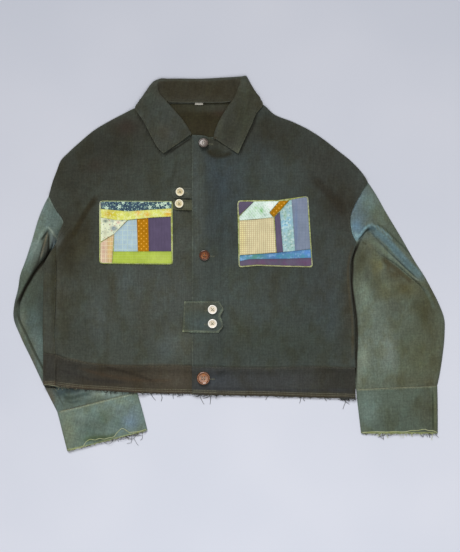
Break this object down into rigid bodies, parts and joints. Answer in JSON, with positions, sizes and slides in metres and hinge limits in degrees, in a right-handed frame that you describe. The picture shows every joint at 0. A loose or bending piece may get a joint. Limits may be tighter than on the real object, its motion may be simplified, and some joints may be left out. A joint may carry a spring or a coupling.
{
  "type": "patched boro jacket",
  "caption": "Boxy work jacket of worn dyed canvas, laid flat and buttoned, with patchwork pockets, a wide hem band, frayed edges and buttoned tabs",
  "frame": {"origin": "middle of the jacket's box on the surface that it lies on", "axes": "+Z away from the surface, +Y from the hem to the collar, +X across the front towards the sleeve whose cuff lies square"},
  "size_m": [0.8622, 0.751, 0.0132],
  "materials": {
    "body_canvas": "worn cotton canvas, dyed olive brown with blue grey patches",
    "band_canvas": "worn cotton canvas, frayed at its lower edge",
    "collar_canvas": "worn cotton canvas, brown olive",
    "sleeve_canvas": "faded teal cotton canvas with olive folds",
    "cuff_canvas": "faded teal cotton canvas, frayed edge",
    "tab_canvas": "worn cotton canvas, top stitched",
    "pocket_ground": "yellow green cotton under the patches",
    "tape": "plain woven cotton tape",
    "brown_button": "dark brown horn-like button, worn satin",
    "pale_button": "cream button, satin",
    "patch_left_navy_floral": "navy cotton with pale flowers",
    "patch_left_yellow_floral": "yellow cotton with orange flowers",
    "patch_left_white_floral": "white cotton with small flowers",
    "patch_left_blue_check": "light blue fine check cotton",
    "patch_left_orange_dots": "orange cotton with small dots",
    "patch_left_plum": "plum cotton",
    "patch_left_lime": "lime green cotton",
    "patch_left_pink_stripe": "beige and pink striped cotton",
    "patch_right_purple_corner": "purple cotton",
    "patch_right_leaf_print": "white cotton with green leaves",
    "patch_right_orange_dots": "orange cotton with small dots",
    "patch_right_beige_check": "beige fine check cotton",
    "patch_right_purple_strip": "purple cotton",
    "patch_right_aqua_floral": "aqua cotton with small flowers",
    "patch_right_lavender": "lavender grey weave",
    "patch_right_blue_batik": "mottled blue cotton",
    "patch_right_purple_foot": "purple cotton"
  },
  "bodies": {
    "root": {"back": "body_canvas", "band_back": "band_canvas", "band_left": "band_canvas", "band_right": "band_canvas", "button_brown_1": "brown_button", "button_brown_2": "brown_button", "button_brown_3": "brown_button", "button_pale_1": "pale_button", "button_pale_2": "pale_button", "button_pale_3": "pale_button", "button_pale_4": "pale_button", "collar": "collar_canvas", "cuff_left": "cuff_canvas", "cuff_right": "cuff_canvas", "front_left": "body_canvas", "front_right": "body_canvas", "neck_tape": "tape", "patch_left_blue_check": "patch_left_blue_check", "patch_left_lime": "patch_left_lime", "patch_left_navy_floral": "patch_left_navy_floral", "patch_left_orange_dots": "patch_left_orange_dots", "patch_left_pink_stripe": "patch_left_pink_stripe", "patch_left_plum": "patch_left_plum", "patch_left_white_floral": "patch_left_white_floral", "patch_left_yellow_floral": "patch_left_yellow_floral", "patch_right_aqua_floral": "patch_right_aqua_floral", "patch_right_beige_check": "patch_right_beige_check", "patch_right_blue_batik": "patch_right_blue_batik", "patch_right_lavender": "patch_right_lavender", "patch_right_leaf_print": "patch_right_leaf_print", "patch_right_orange_dots": "patch_right_orange_dots", "patch_right_purple_corner": "patch_right_purple_corner", "patch_right_purple_foot": "patch_right_purple_foot", "patch_right_purple_strip": "patch_right_purple_strip", "pocket_left": "pocket_ground", "pocket_right": "pocket_ground", "sleeve_left": "sleeve_canvas", "sleeve_right": "sleeve_canvas", "tab_lower": "tab_canvas", "tab_upper_1": "tab_canvas", "tab_upper_2": "tab_canvas"}
  },
  "joints": []
}
